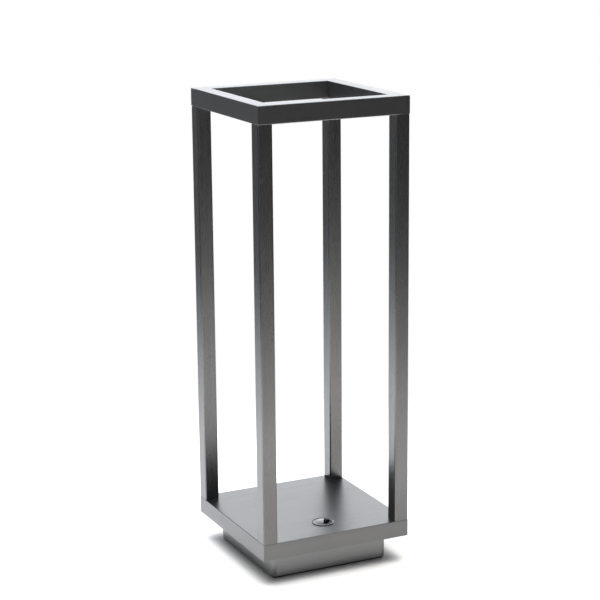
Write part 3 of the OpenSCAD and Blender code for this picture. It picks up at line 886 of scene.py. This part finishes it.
def makePlated(name, low, high, look=zincPlate, mirrored=False, threadPitch=None):
    # mirrored: the part sits alike in all four corners, and low and high are the box of one of them
    material, tree, shader = newMaterial(name)
    link = tree.links.new
    place = tree.nodes.new("ShaderNodeTexCoord").outputs["Object"]
    spot = place
    if mirrored:
        folded = addNode(tree, "ShaderNodeVectorMath", operation="ABSOLUTE")
        link(place, folded.inputs[0])
        spot = folded.outputs[0]
    low, high = Vector(low), Vector(high)
    worn = addGroup(tree, edgeWear, {
        "Middle": (low + high) / 2, "Half Size": (high - low) / 2, "Reach": 0.4 * mm}, spot)
    grain = addGroup(tree, brushedGrain, {"Fine Scale": 1600.0, "Band Scale": 260.0}, place)
    touched = addGroup(tree, handling, {"Cloud Scale": 90.0, "Spot Scale": 600.0}, place)
    clouded = addRange(tree, touched["Clouds"], 0.35, 0.7, 0.0, 1.0)
    colour = addMix(tree, clouded, look["colour"], look["cloudy"])
    colour = addMix(tree, addMath(tree, "MULTIPLY", worn["Wear"], 0.5), colour, look["edge"])
    link(colour, shader.inputs["Base Color"])
    rough = addSpread(tree, grain["Bands"], look["roughLow"], look["roughHigh"])
    rough = addMath(tree, "ADD", rough, addMath(tree, "MULTIPLY", touched["Spots"], 0.1))
    link(rough, shader.inputs["Roughness"])
    height, strength, distance = grain["Grain"], 0.15, 0.05 * mm
    if threadPitch:
        # bands once per pitch
        thread = addNode(tree, "ShaderNodeTexWave", {"Scale": math.pi / (10 * threadPitch)},
                         wave_type="BANDS", bands_direction="Z")
        link(place, thread.inputs["Vector"])
        height = addMath(tree, "ADD", addMath(tree, "MULTIPLY", height, 0.2), thread.outputs["Fac"])
        strength, distance = 0.6, 0.2 * mm
    bump = addNode(tree, "ShaderNodeBump", {"Strength": strength, "Distance": distance})
    link(height, bump.inputs["Height"])
    link(bump.outputs["Normal"], shader.inputs["Normal"])
    shader.inputs["Metallic"].default_value = 1.0
    return material


def paint(name, material):
    mesh = nodes[name].data
    mesh.materials.clear()
    mesh.materials.append(material)


for name in cornerNames:
    paint("corner_key_" + name, makePlated("keyZinc_" + name, *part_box("corner_key_" + name)))

# across one part of each set, and the pitch of its thread
cornerSets = {
    "leg_locators": (11.8 * mm, None),
    "tie_rods": (4.0 * mm, 0.7 * mm),
    "tie_washers": (9.0 * mm, None),
    "tie_nuts": (7.0 * mm, None),
    "tray_spacers": (8.0 * mm, None),
    "plinth_posts": (8.0 * mm, None),
    "floor_screws": (6.0 * mm, 0.5 * mm),
}
for name, (across, pitch) in cornerSets.items():
    low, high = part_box(name)
    lowest = (high[0] - across, high[1] - across, low[2])
    paint(name, makePlated(name + "Zinc", lowest, high, mirrored=True, threadPitch=pitch))
for name in ("button_spring", "button_nut", "battery_contacts"):
    paint(name, makePlated(name + "Zinc", *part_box(name)))
paint("button_terminals", makePlated("terminalBrass", *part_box("button_terminals"), look=brass))
paint("base_underplate", brushedMetal("underplateSteel", "x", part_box("base_underplate")))
paint("plinth_floor", brushedMetal("floorSteel", "x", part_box("plinth_floor")))
print("inner metal painted")


# moulded parts, leads, boards and cells inside the frame

blackPlastic = {
    "colour": (0.018, 0.018, 0.020, 1.0),
    "rubbed": (0.045, 0.045, 0.047, 1.0),
    "rough": 0.48,
    "gritScale": 1500.0,
    "gritDepth": 0.18,
}
leadJacket = {
    "colour": (0.014, 0.014, 0.015, 1.0),
    "rubbed": (0.030, 0.030, 0.030, 1.0),
    "rough": 0.40,
    "gritScale": 900.0,
    "gritDepth": 0.08,
}
board = {
    "mask": (0.78, 0.80, 0.77, 1.0),
    "track": (0.66, 0.69, 0.66, 1.0),
    "lamp": (0.85, 0.68, 0.20, 1.0),
    "rough": (0.22, 0.36),
    "trackAt": (2.2 * mm, 3.0 * mm),  # from the board's middle line
    "thickness": 1.0 * mm,
    "lampBelow": 0.02 * mm,  # what lies further under the board is a lamp
}
cell = {
    "film": (0.03, 0.10, 0.07, 1.0),
    "filmWorn": (0.06, 0.15, 0.11, 1.0),
    "bare": (0.60, 0.60, 0.60, 1.0),
    "rough": (0.24, 0.38),
    "cap": 1.6 * mm,  # how much of each end is bare steel
}


def makeBoard(name, box, across):
    # across is the axis over the board's width: x or y
    material, tree, shader = newMaterial(name)
    link = tree.links.new
    place = tree.nodes.new("ShaderNodeTexCoord").outputs["Object"]
    split = addNode(tree, "ShaderNodeSeparateXYZ")
    link(place, split.inputs[0])
    low, high = box
    axis = "xy".index(across)
    offset = addMath(tree, "SUBTRACT", split.outputs[axis], (low[axis] + high[axis]) / 2)
    offset = addMath(tree, "ABSOLUTE", offset, 0.0)
    near, far = board["trackAt"]
    track = addMath(tree, "MULTIPLY", addMath(tree, "GREATER_THAN", offset, near),
                    addMath(tree, "LESS_THAN", offset, far))
    lamp = addMath(tree, "LESS_THAN", split.outputs[2], high[2] - board["thickness"] - board["lampBelow"])
    touched = addGroup(tree, handling, {"Cloud Scale": 60.0, "Spot Scale": 900.0}, place)
    colour = addMix(tree, track, board["mask"], board["track"])
    colour = addMix(tree, addMath(tree, "MULTIPLY", touched["Clouds"], 0.25), colour, board["track"])
    colour = addMix(tree, lamp, colour, board["lamp"])
    link(colour, shader.inputs["Base Color"])
    rough = addSpread(tree, touched["Clouds"], *board["rough"])
    link(addMath(tree, "ADD", rough, addMath(tree, "MULTIPLY", lamp, 0.15)), shader.inputs["Roughness"])
    bump = addNode(tree, "ShaderNodeBump", {"Strength": 0.4, "Distance": 0.04 * mm})
    height = addMath(tree, "ADD", track, addMath(tree, "MULTIPLY", touched["Clouds"], 0.2))
    link(height, bump.inputs["Height"])
    link(bump.outputs["Normal"], shader.inputs["Normal"])
    return material


def makeCell(name, box):
    # shrunk film over the can, bare steel at both ends
    material, tree, shader = newMaterial(name)
    link = tree.links.new
    place = tree.nodes.new("ShaderNodeTexCoord").outputs["Object"]
    split = addNode(tree, "ShaderNodeSeparateXYZ")
    link(place, split.inputs[0])
    low, high = box
    offset = addMath(tree, "SUBTRACT", split.outputs[1], (low[1] + high[1]) / 2)
    offset = addMath(tree, "ABSOLUTE", offset, 0.0)
    bare = addMath(tree, "GREATER_THAN", offset, (high[1] - low[1]) / 2 - cell["cap"])
    touched = addGroup(tree, handling, {"Cloud Scale": 50.0, "Spot Scale": 500.0}, place)
    film = addMix(tree, touched["Clouds"], cell["film"], cell["filmWorn"])
    link(addMix(tree, bare, film, cell["bare"]), shader.inputs["Base Color"])
    link(bare, shader.inputs["Metallic"])
    rough = addMath(tree, "ADD", addSpread(tree, touched["Clouds"], *cell["rough"]),
                    addMath(tree, "MULTIPLY", touched["Spots"], 0.15))
    link(rough, shader.inputs["Roughness"])
    bump = addNode(tree, "ShaderNodeBump", {"Strength": 0.2, "Distance": 0.05 * mm})
    link(touched["Clouds"], bump.inputs["Height"])
    link(bump.outputs["Normal"], shader.inputs["Normal"])
    return material


for turn, side in enumerate(sideNames):
    name = "light_strip_" + side
    paint(name, makeBoard("board_" + side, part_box(name), "yx"[turn % 2]))
moulded = makeMoulded("blackPlastic", blackPlastic)
for name in ("button_switch", "battery_holder"):
    paint(name, moulded)
jacket = makeMoulded("leadJacket", leadJacket)
for name in ("battery_lead", "light_lead", "ring_lead"):
    paint(name, jacket)
paint("battery_cells", makeCell("cellFilm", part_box("battery_cells")))
print("inner parts painted")


# stage: pale floor, soft light from above, bright and dark parts of the room for the metal to reflect

stageSetup = {
    "floorRadius": 2.4,
    "floorRough": 0.9,
    "frontColour": (0.90, 0.865, 0.815, 1.0),
    "backColour": (0.86, 0.87, 0.88, 1.0),
    "shownFrom": 0.30,  # the floor melts into the white backdrop between these
    "shownTo": 0.55,
    "frontFade": (0.5, 1.5),  # and darkens between these in what the metal reflects, a painted fall-off of the floor's light
    "frontShare": 0.78,
    "nearFade": (0.22, 0.42),  # painted shade: close to the lantern the reflected floor is a little darker too
    "nearShare": 0.45,
    "backFade": (0.45, 1.35),
    "backShare": 0.92,
    "floorTurn": (-0.25, 0.15),  # along darkSide, where the front share turns into the back one
    "roomDark": (0.07, 0.15),  # where the front faces look, where the left faces look
    "darkTurn": 0.7,  # how far round the room that change reaches
    "bandEdge": (0.78, 0.95),  # towards brightSide, where the bright band starts and where it is full
    "bandTop": (0.45, 0.75),  # sine of the height over which the bright band ends
    "bandFall": (0.05, 1.5),  # and over which it gets weaker all the way
    "roomBright": 2.35,
    "frontBand": 0.08,
    "brightColour": (0.935, 0.962, 1.0, 1.0),
    "overheadFrom": (0.70, 0.90),  # sine of the height from which the ceiling glows
    "overheadBright": 1.6,
    "roofPower": 52.0,
    "roofSize": 1.6,
    "roofPlace": (-0.06, 0.05, 1.7),
}
darkSide = Vector((-0.432, 0.902, 0))  # the dark ends of the room lie along this line
brightSide = Vector((0.432, 0.902, 0))  # and the bright ones along this


def makeFloor(setup):
    bm = bmesh.new()
    bmesh.ops.create_circle(bm, cap_ends=True, radius=setup["floorRadius"], segments=96)
    mesh = bpy.data.meshes.new("floor")
    bm.to_mesh(mesh)
    bm.free()
    floor = bpy.data.objects.new("floor", mesh)
    scene.collection.objects.link(floor)
    material, tree, shader = newMaterial("paleFloor")
    link = tree.links.new
    shader.inputs["Roughness"].default_value = setup["floorRough"]
    shader.inputs["Specular IOR Level"].default_value = 0.0
    place = tree.nodes.new("ShaderNodeTexCoord").outputs["Object"]
    reach = addNode(tree, "ShaderNodeVectorMath", operation="LENGTH")
    link(place, reach.inputs[0])
    distance = reach.outputs["Value"]
    seen = tree.nodes.new("ShaderNodeLightPath").outputs["Is Camera Ray"]
    shown = addRange(tree, distance, setup["shownFrom"], setup["shownTo"], 1.0, 0.0)
    sideways = addNode(tree, "ShaderNodeVectorMath", {1: darkSide}, operation="DOT_PRODUCT")
    link(place, sideways.inputs[0])
    # painted light and shade, seen only in reflections: the floor is brighter towards the back, darker in
    # front and darker close to the lantern
    side = addRange(tree, sideways.outputs["Value"], *setup["floorTurn"], 0.0, 1.0)
    front = addRange(tree, distance, *setup["frontFade"], setup["frontShare"], 0.0)
    near = addRange(tree, distance, *setup["nearFade"], setup["nearShare"], setup["frontShare"])
    front = addMath(tree, "MINIMUM", front, near)
    back = addRange(tree, distance, *setup["backFade"], setup["backShare"], 0.0)
    reflected = addMath(tree, "ADD", addMath(tree, "MULTIPLY", back, side),
                        addMath(tree, "MULTIPLY", front, addMath(tree, "SUBTRACT", 1.0, side)))
    cameraPart = addMath(tree, "MULTIPLY", shown, seen)
    otherPart = addMath(tree, "MULTIPLY", reflected, addMath(tree, "SUBTRACT", 1.0, seen))
    link(addMath(tree, "ADD", cameraPart, otherPart), shader.inputs["Alpha"])
    link(addMix(tree, side, setup["frontColour"], setup["backColour"]), shader.inputs["Base Color"])
    mesh.materials.append(material)


def makeRoom(setup):
    world = bpy.data.worlds.new("room")
    world.use_nodes = True
    scene.world = world
    tree = world.node_tree
    link = tree.links.new
    background = tree.nodes["Background"]
    background.inputs["Color"].default_value = (1, 1, 1, 1)
    way = tree.nodes.new("ShaderNodeTexCoord").outputs["Generated"]
    level = addNode(tree, "ShaderNodeVectorMath", {1: (1, 1, 0)}, operation="MULTIPLY")
    link(way, level.inputs[0])
    flat = addNode(tree, "ShaderNodeVectorMath", operation="NORMALIZE")
    link(level.outputs[0], flat.inputs[0])
    along = addNode(tree, "ShaderNodeVectorMath", {1: brightSide}, operation="DOT_PRODUCT")
    link(flat.outputs[0], along.inputs[0])
    leftward = addNode(tree, "ShaderNodeVectorMath", {1: darkSide}, operation="DOT_PRODUCT")
    link(flat.outputs[0], leftward.inputs[0])
    turn = setup["darkTurn"]
    dark = addRange(tree, leftward.outputs["Value"], -turn, turn, *setup["roomDark"])
    start, full = setup["bandEdge"]
    behind = addRange(tree, along.outputs["Value"], start, full, 0.0, 1.0)
    inFront = addRange(tree, along.outputs["Value"], -start, -full, 0.0, setup["frontBand"])
    sides = addMath(tree, "ADD", behind, inFront)
    rise = addNode(tree, "ShaderNodeSeparateXYZ")
    link(way, rise.inputs[0])
    height = rise.outputs["Z"]
    lowBand = addMath(tree, "MULTIPLY", addRange(tree, height, *setup["bandTop"], 1.0, 0.0),
                      addRange(tree, height, *setup["bandFall"], 1.0, 0.0))
    band = addMath(tree, "MULTIPLY", sides, lowBand)
    bright = addMath(tree, "ADD", dark, addMath(tree, "MULTIPLY", band, setup["roomBright"]))
    overhead = addRange(tree, height, *setup["overheadFrom"], 0.0, setup["overheadBright"])
    bright = addMath(tree, "ADD", bright, overhead)
    seen = tree.nodes.new("ShaderNodeLightPath").outputs["Is Camera Ray"]
    bright = addMath(tree, "MULTIPLY", bright, addMath(tree, "SUBTRACT", 1.0, seen))
    link(addMath(tree, "MAXIMUM", bright, seen), background.inputs["Strength"])
    tint = addMix(tree, seen, setup["brightColour"], (1.0, 1.0, 1.0, 1.0))
    link(tint, background.inputs["Color"])


def makeRoof(setup):
    roofData = bpy.data.lights.new("roof", "AREA")
    roofData.shape = "SQUARE"
    roofData.size = setup["roofSize"]
    roofData.energy = setup["roofPower"]
    roof = bpy.data.objects.new("roof", roofData)
    roof.location = setup["roofPlace"]
    roof.rotation_mode = "QUATERNION"
    roof.rotation_quaternion = (-roof.location).to_track_quat("-Z", "Y")
    roof.visible_camera = False
    roof.visible_glossy = False  # the metal sees the softer overhead glow of the room instead
    scene.collection.objects.link(roof)


makeFloor(stageSetup)
makeRoom(stageSetup)
makeRoof(stageSetup)
print("stage made")
